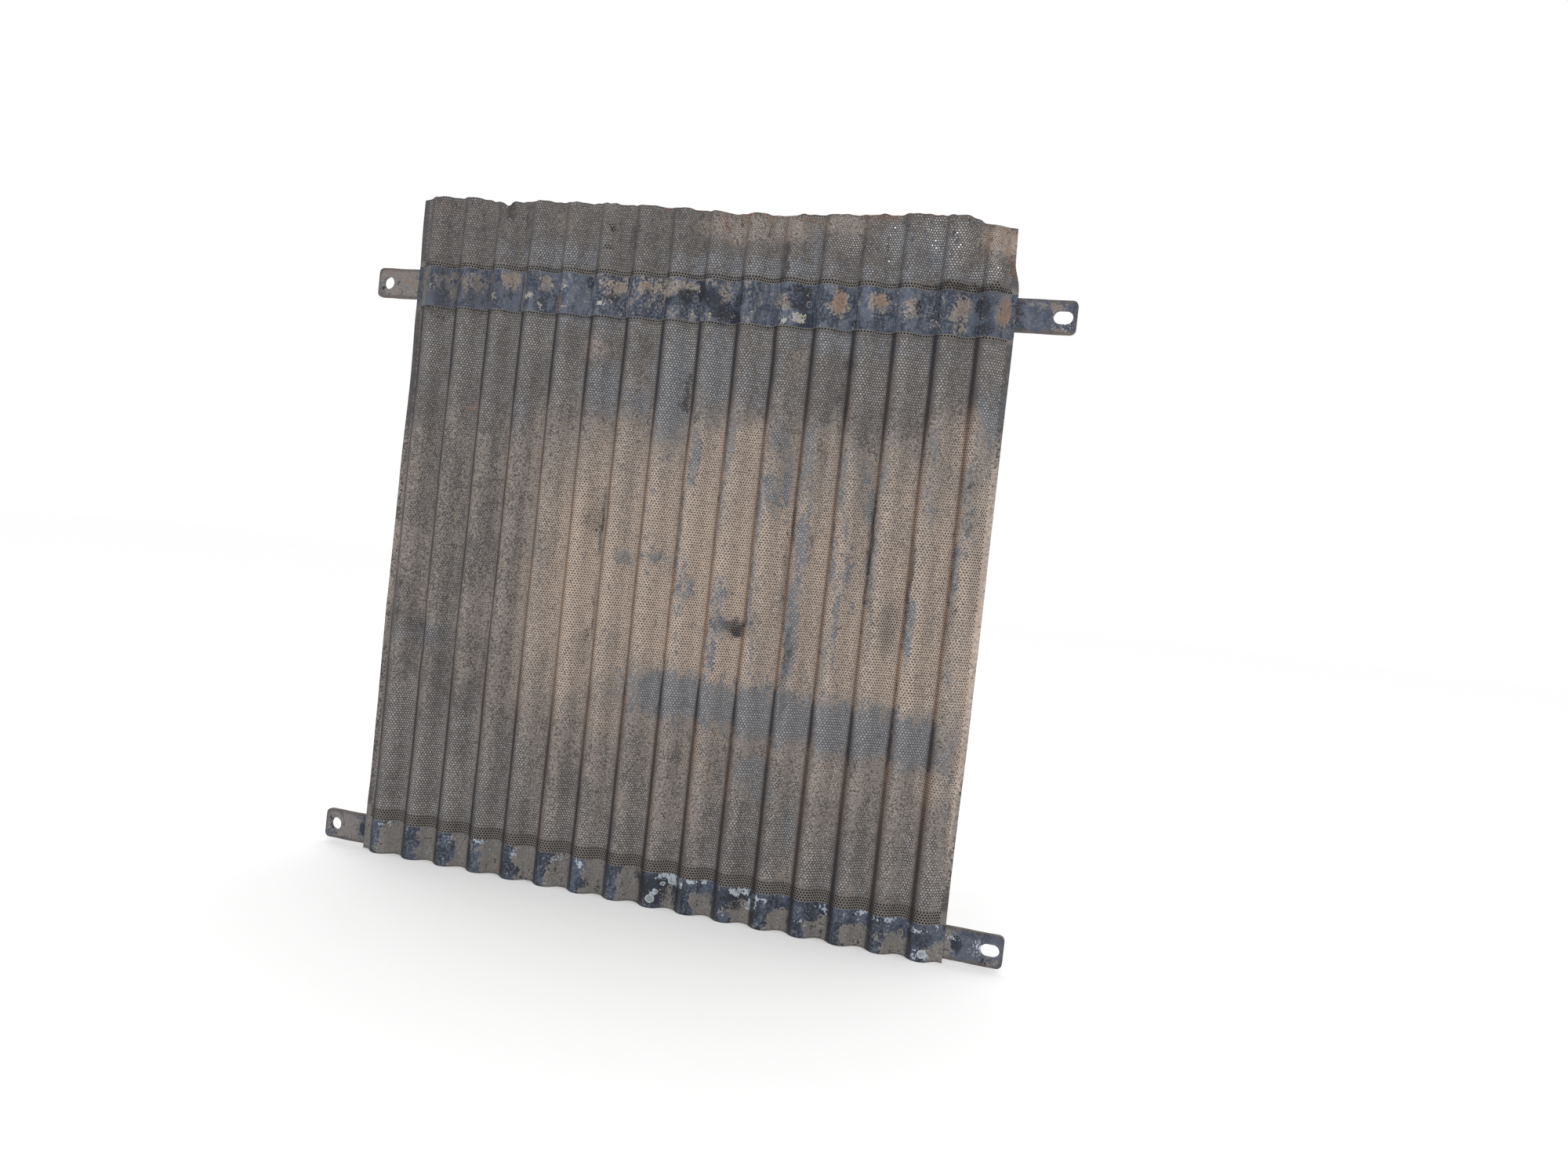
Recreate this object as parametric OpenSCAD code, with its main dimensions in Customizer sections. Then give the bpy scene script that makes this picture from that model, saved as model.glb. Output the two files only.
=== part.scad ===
// Corrugated, perforated sheet-metal screen panel on two flat cross straps.
// Millimetres. X runs to the right seen from the front, +Y to the rear, +Z up.
// The origin is the middle of the four fixing holes, on the back face of the straps.
// The fine perforation is left out here: the sheet is a plain corrugated wall.

/* [Sheet] */
// Number of full ridges across the sheet
ridge_count = 16; // [6:1:17]
// Distance from one ridge to the next
ridge_pitch = 44; // [30:1:46]
// Height of a ridge above its valleys
ridge_h = 12; // [6:1:16]
// How much flatter than a sine the ridges and valleys are
crest_flatness = 0.06; // [0:0.01:0.1]
// Flat margin outside the first and the last valley
side_margin = 3; // [3:1:10]
// Sheet thickness
sheet_t = 1.2; // [0.8:0.1:2]
// Height of the sheet
sheet_h = 787; // [730:1:900]
// How far the sheet hangs below the lower line of fixing holes
bottom_drop = 22; // [18:1:40]
// Sideways offset of the sheet from the middle of the straps
sheet_shift = -3; // [-6:1:6]

/* [Straps] */
// Distance between the left and the right fixing hole of a strap
hole_span = 800; // [780:1:900]
// Distance between the upper and the lower strap
strap_spacing = 663; // [500:1:680]
// Strap width
strap_w = 35; // [30:1:50]
// Strap thickness
strap_t = 5; // [4:0.5:8]
// From a fixing hole to the strap's end
strap_end = 14; // [12:1:25]
// Corner radius of a strap
corner_r = 6; // [2:1:10]
// Diameter of the round fixing holes, on the left
hole_d = 15; // [10:0.5:16]
// Length of the fixing slots, on the right
slot_l = 20; // [17:1:24]
// Width of the fixing slots
slot_w = 14; // [10:0.5:16]

/* [Spot welds] */
// Diameter of a weld nugget
weld_d = 5; // [3:0.5:6]
// How deep a nugget reaches into the strap and into the sheet
weld_depth = 0.6; // [0.3:0.1:0.7]
// Gap between the sheet's valleys and the straps
weld_gap = 0.1; // [0.05:0.05:0.3]

/* [Hidden] */
$fn = 48;

steps_per_ridge = 20;
ridges_w = ridge_count * ridge_pitch;
step = ridge_pitch / steps_per_ridge;
strap_l = hole_span + 2 * strap_end;
upper_z = strap_spacing / 2;
lower_z = -strap_spacing / 2;
sheet_bottom = lower_z - bottom_drop;
sheet_rear = strap_t + weld_gap;

// One ridge of the wave, s from valley to valley: a cosine whose third harmonic
// flattens the ridges and the valleys. rise() runs from 0 to ridge_h.
function angle(s) = 360 * s / ridge_pitch;
function rise(s) =
    ridge_h / 2
    * (1 - (cos(angle(s)) - crest_flatness * cos(3 * angle(s))) / (1 - crest_flatness));
function slope(s) =
    ridge_h * PI / ridge_pitch
    * (sin(angle(s)) - 3 * crest_flatness * sin(3 * angle(s))) / (1 - crest_flatness);

// Points of the wave at a distance off its rear face, measured square to the sheet.
function wave_point(s, off) =
    let (k = sqrt(1 + slope(s) * slope(s)))
    [s - ridges_w / 2 - off * slope(s) / k, -(sheet_rear + rise(s) + off / k)];
function wave_line(off) = concat(
    [[-ridges_w / 2 - side_margin, -(sheet_rear + off)]],
    [for (i = [0 : ridge_count * steps_per_ridge]) wave_point(i * step, off)],
    [[ridges_w / 2 + side_margin, -(sheet_rear + off)]]
);
function reversed(list) = [for (i = [len(list) - 1 : -1 : 0]) list[i]];

module corrugated_sheet() {
    color("rosybrown")
        translate([sheet_shift, 0, sheet_bottom])
            linear_extrude(height = sheet_h)
                polygon(concat(wave_line(sheet_t), reversed(wave_line(0))));
}

module rounded_bar(l, w, r) {
    square([l - 2 * r, w], center = true);
    square([l, w - 2 * r], center = true);
    for (x = [-1, 1], y = [-1, 1])
        translate([x * (l / 2 - r), y * (w / 2 - r)])
            circle(r = r);
}

module slot_outline(l, w) {
    square([l - w, w], center = true);
    for (x = [-1, 1])
        translate([x * (l - w) / 2, 0])
            circle(d = w);
}

// A flat bar with a round hole at its left end and a slot at its right end.
module strap(z) {
    translate([0, 0, z])
        rotate([90, 0, 0])
            linear_extrude(height = strap_t)
                difference() {
                    rounded_bar(strap_l, strap_w, corner_r);
                    translate([-hole_span / 2, 0])
                        circle(d = hole_d);
                    translate([hole_span / 2, 0])
                        slot_outline(slot_l, slot_w);
                }
}

module upper_strap() {
    color("slategray") strap(upper_z);
}

module lower_strap() {
    color("slategray") strap(lower_z);
}

// One nugget in every valley, and one at each side edge.
module spot_welds(z) {
    for (i = [0 : ridge_count])
        translate([sheet_shift - ridges_w / 2 + i * ridge_pitch, -strap_t + weld_depth, z])
            rotate([90, 0, 0])
                cylinder(d = weld_d, h = weld_gap + 2 * weld_depth);
}

module upper_spot_welds() {
    color("dimgray") spot_welds(upper_z);
}

module lower_spot_welds() {
    color("dimgray") spot_welds(lower_z);
}

corrugated_sheet();
upper_strap();
lower_strap();
upper_spot_welds();
lower_spot_welds();
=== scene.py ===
"""A corrugated, perforated steel screen panel on two flat cross straps, weathered.

The sheet is worked out as a honeycomb of punched cells, laid along the wave of the
packed sheet and cut into one closed piece for each ridge. Metres throughout: X runs
right seen from the front, +Y to the rear and +Z up.
"""
import math

import bmesh
import bpy
import numpy as np
from mathutils import Matrix, Vector


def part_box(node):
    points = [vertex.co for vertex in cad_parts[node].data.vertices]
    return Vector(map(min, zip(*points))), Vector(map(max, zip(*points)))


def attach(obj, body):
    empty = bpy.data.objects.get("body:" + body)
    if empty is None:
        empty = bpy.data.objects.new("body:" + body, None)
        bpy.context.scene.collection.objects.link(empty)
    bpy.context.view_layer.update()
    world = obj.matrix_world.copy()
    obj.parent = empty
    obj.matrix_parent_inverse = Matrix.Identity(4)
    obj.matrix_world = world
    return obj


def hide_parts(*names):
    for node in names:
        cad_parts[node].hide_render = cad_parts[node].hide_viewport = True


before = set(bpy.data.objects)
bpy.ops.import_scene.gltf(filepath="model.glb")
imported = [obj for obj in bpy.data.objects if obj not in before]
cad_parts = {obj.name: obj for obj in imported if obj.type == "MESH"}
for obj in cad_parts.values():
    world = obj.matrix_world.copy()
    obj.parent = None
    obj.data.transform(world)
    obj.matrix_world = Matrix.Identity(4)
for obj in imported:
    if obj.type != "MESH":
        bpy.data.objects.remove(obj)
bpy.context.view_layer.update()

# -------------------- sizes
SHEET_LOW, SHEET_HIGH = (np.array(corner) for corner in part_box("corrugated_sheet"))
UPPER_LOW, UPPER_HIGH = (np.array(corner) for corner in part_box("upper_strap"))
LOWER_LOW, LOWER_HIGH = (np.array(corner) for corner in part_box("lower_strap"))

RIDGES = 16
SIDE_MARGIN = 0.003
SHEET_T = 0.0012
CREST_FLATNESS = 0.06
RIDGE_PITCH = (SHEET_HIGH[0] - SHEET_LOW[0] - 2 * SIDE_MARGIN) / RIDGES
RIDGE_H = SHEET_HIGH[1] - SHEET_LOW[1] - SHEET_T
REAR_Y = SHEET_HIGH[1]
SHEET_H = SHEET_HIGH[2] - SHEET_LOW[2]
UPPER_Z = (UPPER_LOW[2] + UPPER_HIGH[2]) / 2
LOWER_Z = (LOWER_LOW[2] + LOWER_HIGH[2]) / 2

# The punched pattern, its plain margins and bands, and how far the fillings sink.
HOLE_PITCH = 0.0032
HOLE_D = 0.0021
PLAIN_SIDE = 0.0075
PLAIN_TOP = 0.002
UPPER_BAND = (UPPER_Z - 0.026, UPPER_Z + 0.019)
LOWER_BAND_TOP = LOWER_Z + 0.0175
DIMPLE = 0.0007
DEEP_DIMPLE = 0.00105
MM = 0.001


def in_painted_band(z):
    """True over the two plain bands where the straps cross behind the sheet."""
    return (z < LOWER_BAND_TOP) | ((z > UPPER_BAND[0]) & (z < UPPER_BAND[1]))


# -------------------- number helpers
def ease(t):
    """Smooth step: 0 up to t = 0, 1 from t = 1, with level ends."""
    t = np.clip(t, 0.0, 1.0)
    return t * t * (3 - 2 * t)


def mottle(x, z, size, seed):
    """Value noise in 0..1: random values on a square grid of that size, blended smoothly."""
    table = np.random.default_rng(seed).random((64, 64))
    gx, gz = x / size, z / size
    ix, iz = np.floor(gx).astype(int), np.floor(gz).astype(int)
    fx, fz = ease(gx - ix), ease(gz - iz)
    low = table[ix % 64, iz % 64] * (1 - fx) + table[(ix + 1) % 64, iz % 64] * fx
    high = table[ix % 64, (iz + 1) % 64] * (1 - fx) + table[(ix + 1) % 64, (iz + 1) % 64] * fx
    return low * (1 - fz) + high * fz


def patch(x, z, centre_x, centre_z, half_w, half_h, soft):
    """An oval patch: 1 inside, falling to 0 over the outer soft share of its radius."""
    r = np.hypot((x - centre_x) / half_w, (z - centre_z) / half_h)
    return ease((1 - r) / soft + 0.5)


# -------------------- the wave
def wave(s):
    """Rise and slope of the rear face at s from the first valley.

    The rise is a cosine wave, less a share of its third harmonic.
    """
    a = 2 * np.pi * s / RIDGE_PITCH
    k = CREST_FLATNESS
    inside = (s > 0) & (s < RIDGES * RIDGE_PITCH)
    rise = RIDGE_H / 2 * (1 - (np.cos(a) - k * np.cos(3 * a)) / (1 - k))
    slope = RIDGE_H * np.pi / RIDGE_PITCH * (np.sin(a) - 3 * k * np.sin(3 * a)) / (1 - k)
    return np.where(inside, rise, 0.0), np.where(inside, slope, 0.0)


WALK_S = np.linspace(-SIDE_MARGIN, RIDGES * RIDGE_PITCH + SIDE_MARGIN, 400 * RIDGES + 1)
WALK_STEPS = np.hypot(np.diff(WALK_S), np.diff(wave(WALK_S)[0]))
WALK_U = np.concatenate([[0.0], np.cumsum(WALK_STEPS)])
SHEET_U = WALK_U[-1]
RIDGE_U = (SHEET_U - 2 * SIDE_MARGIN) / RIDGES

# The free top edge from left to right, as x and z in metres.
TOP_EDGE = [
    (-0.358, 0.431), (-0.340, 0.4335), (-0.300, 0.4345), (-0.268, 0.4325), (-0.252, 0.430),
    (-0.2445, 0.426), (-0.238, 0.4315), (-0.190, 0.433), (-0.060, 0.4315), (-0.010, 0.4285),
    (0.030, 0.4265), (0.100, 0.425), (0.150, 0.4285), (0.180, 0.430), (0.200, 0.4285),
    (0.230, 0.431), (0.292, 0.4305), (0.305, 0.428), (0.310, 0.424), (0.340, 0.4235), (0.352, 0.424),
]
TOP_REACH = 0.055
RAGGED_EDGE = 0.0016
LIP_H = 0.016
LIP_SPAN = (-0.03, 0.23)
LIP_CURL = 0.011

STRAP_CLEAR = 0.020
SIDE_WANDER = 0.0022
DEPTH_WANDER = 0.0016
SKIRT_FLATTENING = 0.45

CREASE_TOP = (0.308, 0.4235)
CREASE_LEAN = 0.23
FLAP_FOOT = 0.352
FLAP_WAVE = 0.35
FLAP_DEPTH = 0.35 * RIDGE_H
FLAP_DRAW_IN = 0.16
FLAP_ANGLE = math.radians(19)

# Dents in metres: middle x, middle z, half width, half height and push, less than 0 to the rear.
DENTS = [
    (-0.246, 0.418, 0.010, 0.020, -0.0045),
    (0.190, 0.424, 0.012, 0.014, -0.0040),
    (0.100, 0.262, 0.014, 0.022, -0.0030),
    (-0.090, 0.075, 0.012, 0.030, -0.0030),
    (0.018, 0.012, 0.012, 0.014, -0.0035),
    (0.120, 0.130, 0.010, 0.050, -0.0022),
    (0.215, 0.110, 0.010, 0.055, -0.0026),
    (-0.300, -0.085, 0.016, 0.030, -0.0024),
    (0.290, -0.020, 0.014, 0.045, -0.0020),
]


def crease_x(z):
    """Where the bent corner's crease runs at height z."""
    return CREASE_TOP[0] + (CREASE_TOP[1] - z) * CREASE_LEAN


def sheet_place(u, v, off):
    """Where a point lies that is u across and v up the flat sheet, and off in front of its rear face.

    The wave carries u by arc length. On top of it the ridges wander a little, the free
    skirt at the top is pressed flatter, its edge is ragged with a curled lip, dents
    push in, and the right corner turns back about its crease.
    """
    s = np.interp(u, WALK_U, WALK_S)
    rise, slope = wave(s)
    stretch = np.sqrt(1 + slope * slope)
    x = SHEET_LOW[0] + SIDE_MARGIN + s - off * slope / stretch
    depth = rise + off / stretch
    z = SHEET_LOW[2] + v

    clear = ease((np.abs(z - UPPER_Z) - STRAP_CLEAR) / 0.05) * ease((z - LOWER_BAND_TOP) / 0.05)
    x = x + clear * SIDE_WANDER * (mottle(x, z, 0.11, 3) - 0.5)
    depth = depth + clear * DEPTH_WANDER * (mottle(x, z, 0.07, 4) - 0.5)

    skirt = ease((z - UPPER_Z - STRAP_CLEAR) / 0.075)
    mid = RIDGE_H / 2
    depth = mid + (depth - mid) * (1 - SKIRT_FLATTENING * skirt)

    for dent_x, dent_z, half_w, half_h, push in DENTS:
        depth = depth + push * patch(x, z, dent_x, dent_z, half_w, half_h, 1.0)

    edge_x, edge_z = np.array(TOP_EDGE).T
    near_top = ease((z - (SHEET_HIGH[2] - TOP_REACH)) / TOP_REACH)
    ragged = RAGGED_EDGE * (mottle(x, z * 0, 0.006, 5) - 0.5)
    z = z + near_top * (np.interp(x, edge_x, edge_z) + ragged - SHEET_HIGH[2])

    lip = ease((z - (SHEET_HIGH[2] - LIP_H)) / 0.012)
    lip = lip * ease((x - LIP_SPAN[0]) / 0.05) * ease((LIP_SPAN[1] - x) / 0.03)
    depth = depth + lip * LIP_CURL * (mottle(x, z * 0, 0.017, 6) - 0.62)

    past = np.maximum(x - crease_x(z), 0.0)
    turn = ease((z - FLAP_FOOT) / 0.035)
    flat_depth = FLAP_WAVE * depth + (1 - FLAP_WAVE) * FLAP_DEPTH
    depth = np.where(past > 0, depth + (flat_depth - depth) * ease(past / 0.02) * turn, depth)
    angle = FLAP_ANGLE * turn * ease(past / 0.012)
    x = x - past * (1 - np.cos(angle)) - FLAP_DRAW_IN * past * turn
    depth = depth - past * np.sin(angle)
    return np.stack([x, REAR_Y - depth, z], axis=-1)


# -------------------- weather
# A profile is a list of (millimetres, strength) points across or up the sheet. An area is
# an oval in millimetres: middle x, middle z, half width, half height and strength.
DUST_ACROSS = [(-350, 0.34), (-275, 0.28), (-225, 0.34), (-175, 0.5), (-125, 0.95), (-75, 0.92), (-25, 0.84),
               (25, 1.0), (75, 1.0), (125, 0.82), (225, 0.85), (350, 0.85)]
DUST_UP = [(-355, 0.12), (-275, 0.2), (-215, 0.38), (-155, 0.52), (-95, 0.88), (-35, 1.0), (60, 0.95),
           (145, 0.78), (175, 0.62), (205, 0.3), (250, 0.08), (370, 0.02), (400, 0.02), (425, 0.3)]
DUST = [
    (-95, 165, 24, 26, 0.6), (80, 175, 22, 30, 0.85), (30, 165, 14, 20, 0.6), (165, 185, 16, 20, 0.55),
    (40, 60, 45, 60, 1), (20, -30, 60, 45, 1), (310, 190, 40, 40, 0.65), (340, 60, 12, 120, 0.9),
    (346, -60, 8, 190, 0.8), (-115, 265, 16, 14, 0.35), (60, 410, 75, 18, 0.62), (160, 418, 30, 10, 0.55),
    (328, 405, 22, 20, 0.75), (-60, -140, 40, 40, 0.62), (-150, -130, 40, 40, 0.5), (125, 265, 14, 26, 0.3),
    (320, -165, 26, 30, 0.6), (-175, 410, 18, 16, 0.3), (20, 225, 9, 16, 0.35),
]
SLATE = [
    (212, 150, 8, 16, 0.6), (224, 116, 9, 22, 0.6), (328, 108, 10, 26, 0.38), (126, 138, 8, 26, 0.65),
    (116, 178, 7, 22, 0.6), (152, 70, 8, 30, 0.6), (152, -10, 7, 50, 0.6), (232, 50, 6, 50, 0.5),
    (30, -114, 68, 28, 0.86), (130, -118, 80, 28, 0.86), (230, -122, 80, 28, 0.86), (300, -125, 38, 27, 0.8),
    (-100, 222, 24, 28, 0.65), (-18, 235, 20, 70, 0.66), (32, 258, 24, 50, 0.6), (80, 238, 18, 32, 0.45),
    (340, 220, 14, 34, 0.6), (-60, 208, 18, 18, 0.45), (22, 10, 9, 26, 0.65), (63, 0, 8, 26, 0.6),
    (68, -29, 11, 12, 0.75), (-50, 33, 14, 8, 0.6), (-15, 38, 22, 6, 0.5), (125, -180, 30, 22, 0.5),
    (135, -195, 18, 26, 0.45), (112, 125, 12, 26, 0.5), (172, -238, 9, 28, 0.45), (225, 398, 20, 26, 0.55),
    (262, 396, 16, 30, 0.65), (130, 392, 12, 22, 0.45), (-180, 372, 60, 16, 0.5), (60, 368, 120, 14, 0.55),
    (250, 366, 60, 12, 0.6), (-300, -84, 46, 14, 0.45), (-130, 300, 60, 12, 0.45), (180, 292, 90, 12, 0.5),
    (60, 110, 8, 14, 0.45), (285, 130, 10, 26, 0.3), (205, 40, 10, 40, 0.3), (-205, 195, 10, 20, 0.35),
]
STAIN = [
    (-325, 328, 50, 30, 0.85), (-265, 326, 30, 26, 0.7), (330, 328, 30, 30, 0.6), (-215, 326, 24, 24, 0.45),
    (-87, 68, 4, 34, 0.75), (-100, 72, 16, 12, 0.35), (-86, -30, 3, 34, 0.6), (-95, -75, 8, 20, 0.4),
    (88, -30, 9, 9, 0.85), (64, -24, 6, 14, 0.55), (107, -22, 5, 16, 0.5), (141, 88, 3, 20, 0.8),
    (136, 30, 5, 50, 0.45), (148, -60, 5, 45, 0.5),
    (183, 265, 9, 6, 0.85), (176, 236, 9, 18, 0.5), (186, 225, 3, 22, 0.75),
    (228, 80, 4, 40, 0.7), (236, 10, 4, 40, 0.4), (275, 42, 3, 48, 0.7),
    (330, 150, 6, 30, 0.4), (322, 20, 4, 60, 0.35), (256, -10, 6, 26, 0.35),
    (-262, 284, 4, 14, 0.5), (-241, 0, 3, 26, 0.5), (-338, -28, 10, 10, 0.6), (-340, -70, 9, 34, 0.6),
    (-312, -72, 16, 14, 0.5), (-276, -86, 24, 12, 0.4), (-2, 224, 7, 24, 0.7), (-84, 394, 7, 26, 0.65),
    (101, 372, 4, 30, 0.8), (-243, 420, 9, 12, 0.85), (-290, 12, 8, 26, 0.35), (-22, -165, 14, 24, 0.3),
    (5, -118, 5, 40, 0.4), (-110, 404, 8, 7, 0.5), (-112, 384, 6, 5, 0.55), (235, -154, 8, 18, 0.45),
    # The area at 306, 354 darkens a thin strip just above the upper band on the right.
    (-305, 425, 30, 8, 0.35), (306, 354, 46, 5, 0.95), (336, 378, 7, 14, 0.55), (-350, 250, 5, 130, 0.55),
]
RUST = [
    (-268, 189, 6, 5, 0.9), (22, 415, 12, 10, 0.35), (338, 400, 8, 22, 0.55), (342, 376, 8, 10, 0.5),
    (90, 423, 60, 4, 0.6), (200, 424, 20, 5, 0.5), (-330, 420, 16, 10, 0.4), (-22, -180, 20, 30, 0.25),
    (345, -20, 3, 200, 0.35), (330, 412, 16, 16, 0.45), (351, 398, 4, 26, 0.9), (20, 431, 80, 3, 0.8),
    (180, 431, 120, 3, 0.8),
]
BLACK_HOLES = [
    (-110, 404, 6, 6, 1), (-112, 384, 5, 4, 1), (86, -30, 14, 10, 0.8), (342, 70, 8, 60, 0.35),
    (256, -5, 10, 30, 0.5), (334, 112, 9, 14, 0.3), (306, 356, 46, 5, 1), (150, -70, 4, 60, 0.5),
]
PALE_HOLES_UP = [(-355, 0.65), (-200, 0.6), (-150, 0.3), (0, 0.25), (180, 0.3), (230, 0.45), (300, 0.45),
                 (350, 0.25), (385, 0.1), (430, 0.05)]
PALE_HOLES = [
    (262, 408, 18, 20, 1), (284, 400, 16, 26, 1), (216, 402, 14, 22, 0.9), (170, 402, 14, 18, 0.8),
    (318, 372, 16, 14, 0.8), (-318, -180, 16, 50, 0.8), (-8, 240, 26, 60, 0.9), (35, 250, 20, 50, 0.8),
    (150, -115, 190, 24, 0.9), (-330, 20, 14, 60, 0.4),
]
BAND_CRUMBS = [(-350, 0.1), (-160, 0.16), (-60, 0.3), (20, 0.28), (90, 0.12), (200, 0.06), (350, 0.08)]
BAND_DUST = [
    (-232, 339, 11, 10, 0.85), (-190, 340, 10, 9, 0.75), (-100, 336, 16, 11, 0.8), (-64, 338, 7, 12, 0.75),
    (-42, 338, 16, 12, 0.85), (-14, 340, 18, 9, 0.85), (30, 332, 7, 9, 0.7), (106, 331, 16, 11, 0.7),
    (162, 331, 12, 13, 0.85), (208, 334, 12, 12, 0.8), (244, 330, 11, 13, 0.7), (296, 328, 9, 22, 0.75),
    (340, 330, 8, 20, 0.75), (-320, 338, 26, 9, 0.55), (-278, 337, 18, 11, 0.6), (-346, 328, 6, 26, 0.8),
    (-302, 328, 2, 26, 0.8), (-257, 328, 2.5, 26, 0.75), (-213, 328, 2.5, 26, 0.7),
    (-166, 320, 7, 12, 0.75), (-75, 330, 3, 24, 0.55), (-310, 325, 12, 8, 0.6), (58, 340, 10, 6, 0.35),
    (270, 322, 10, 12, 0.35),
]
BAND_RUST = [
    (162, 333, 9, 10, 0.9), (208, 336, 8, 8, 0.8), (340, 332, 5, 16, 1), (-62, 340, 5, 6, 0.6),
    (-232, 340, 7, 6, 0.5), (-190, 341, 6, 5, 0.4), (-100, 338, 9, 6, 0.4), (296, 336, 6, 8, 0.4),
    (-165, 318, 6, 8, 0.5), (-276, 338, 12, 6, 0.3), (244, 334, 8, 7, 0.4), (10, 342, 6, 4, 0.5),
]
BAND_CHIPS = [
    (-46, 332, 6, 5, 1), (-30, 326, 6, 6, 1), (-12, 333, 11, 8, 1), (6, 336, 8, 9, 1),
    (20, 329, 9, 14, 1), (32, 317, 16, 12, 1), (47, 309, 10, 8, 1), (48, 331, 9, 9, 0.9),
    (120, 336, 15, 15, 1), (130, 311, 9, 9, 0.9), (112, 346, 12, 5, 1), (-132, 343, 7, 5, 0.9),
    (250, 332, 3, 9, 0.9), (319, 336, 9, 13, 1), (322, 312, 11, 8, 1), (4, 348, 8, 5, 1),
    (186, 310, 8, 6, 0.7), (-165, 320, 8, 10, 0.6), (-100, 325, 6, 4, 0.6), (350, 334, 5, 20, 0.7),
    (60, -330, 3, 22, 0.8), (13, -330, 4, 22, 1), (28, -330, 14, 20, 0.9), (50, -338, 8, 12, 0.7),
    (-208, -340, 4, 12, 0.9), (108, -328, 10, 12, 0.7), (120, -326, 12, 10, 0.8), (145, -336, 8, 12, 0.8),
    (-48, -345, 5, 8, 0.4), (2, -322, 6, 6, 0.7), (330, -330, 10, 12, 0.6), (188, -342, 10, 8, 0.6),
]
BAND_FLAKES = [
    (-333, 330, 4, 5, 0.8), (-205, 322, 5, 5, 0.9), (-192, 312, 4, 4, 0.7), (-160, 335, 5, 2, 0.9),
    (-113, 318, 5, 4, 0.8), (-250, 320, 6, 4, 0.7), (120, 315, 8, 6, 0.8), (106, 310, 5, 4, 0.7),
    (155, 318, 9, 4, 0.6), (-178, 323, 4, 3, 0.6), (-265, 319, 4, 3, 0.5), (-160, 313, 4, 3, 0.6),
    (42, -316, 20, 4, 1), (74, -317, 12, 3, 1), (124, -317, 12, 4, 1), (148, -320, 10, 4, 0.9),
    (285, -317, 14, 3, 0.7), (325, -321, 10, 4, 0.9), (330, -346, 10, 6, 0.8), (345, -310, 4, 12, 0.9),
    (-70, -318, 6, 5, 0.8), (-100, -317, 7, 4, 0.6), (-322, -315, 5, 4, 0.7), (-195, -317, 14, 4, 0.5),
    (-240, -317, 8, 5, 0.5), (215, -321, 10, 4, 0.6), (52, -322, 10, 6, 0.8), (-335, -318, 8, 3, 0.4),
    (256, -318, 12, 3, 0.6), (140, -330, 8, 8, 0.6), (24, -333, 5, 6, 0.6), (-155, -320, 8, 5, 0.5),
]
# Round paint blisters on the lower band: middle x, middle z and radius in millimetres.
BLISTERS = [
    (22, -343, 5.2), (43, -321, 5.6), (33, -326, 2.6), (134, -333, 4.4), (27, -335, 3.0), (331, -345, 4.6),
]
OUTLINE_WANDER = 3.0
PROFILE_STEP = 12.0


def ovals(x, z, areas, soft=0.8):
    """The strongest of these oval areas at each point, their outlines wandering by a few millimetres."""
    side = OUTLINE_WANDER * (mottle(x, z, 0.006, 21) + mottle(x, z, 0.015, 22) - 1)
    rise = 2 * OUTLINE_WANDER * (mottle(x, z, 0.006, 23) + mottle(x, z, 0.015, 24) - 1)
    px, pz = x / MM + side, z / MM + rise
    total = np.zeros_like(x)
    for middle_x, middle_z, half_w, half_h, strength in areas:
        total = np.maximum(total, strength * patch(px, pz, middle_x, middle_z, half_w, half_h, soft))
    return total


def profile(position, points):
    """A run through (millimetres, strength) points, rounded: its mean here and a step to each side."""
    at, value = np.array(points, float).T
    spread = (-PROFILE_STEP, 0.0, PROFILE_STEP)
    return sum(np.interp(position / MM + step, at, value) for step in spread) / len(spread)


def across_ridge(x):
    """The share of a ridge that x is past the middle of a left flank: 0.25 is a crest, 0.75 a valley."""
    return ((x - SHEET_LOW[0] - SIDE_MARGIN) / RIDGE_PITCH - 0.25) % 1.0


def dust_layer(x, z, stain, cloud, streak):
    """Pale dust: one profile times the other, moved by clouds and streaks, or an area. Stains halve it."""
    dust = profile(x, DUST_ACROSS) * profile(z, DUST_UP) + 0.14 * cloud + 0.16 * streak
    dust = np.maximum(dust, ovals(x, z, DUST, 1.2) * (1 + 0.25 * streak))
    return np.clip(dust * (1 - 0.5 * stain), 0, 1)


def strip_layer(x, z, streak):
    """Caked strips to the right of each groove, on the right half of the sheet's middle heights."""
    phase = across_ridge(x)
    strips = ease((phase - 0.01) / 0.05) * ease((0.36 - phase + 0.2 * streak) / 0.08)
    strips = strips * ease((mottle(x, z / 5, 0.010, 37) - 0.42) / 0.22) * ease((x + 0.05) / 0.06)
    return strips * ease((z + 0.09) / 0.02) * ease((0.23 - z) / 0.05)


def groove_dirt_and_shade_layer(x, z, in_band):
    """Dirt and painted shade down the middle of each left flank: exp of minus (distance / width) squared.

    It is wider to the right than to the left, and wider high and low on the sheet. A
    quarter of it is left on the upper band, and about two thirds on the free skirt.
    """
    phase = across_ridge(x)
    distance = np.where(phase < 0.5, phase, 1.0 - phase) * RIDGE_PITCH
    widened = ease((z - 0.19) / 0.03) * (z < UPPER_BAND[0]) + ease((-0.09 - z) / 0.05)
    width = np.where(phase < 0.5, 0.0045, 0.0026) * (1 + 0.7 * widened)
    share = np.where(in_band, np.where(z > 0, 0.25, 1.0), 1 - 0.35 * ease((z - 0.35) / 0.02))
    return share * np.exp(-((distance / width) ** 2))


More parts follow.
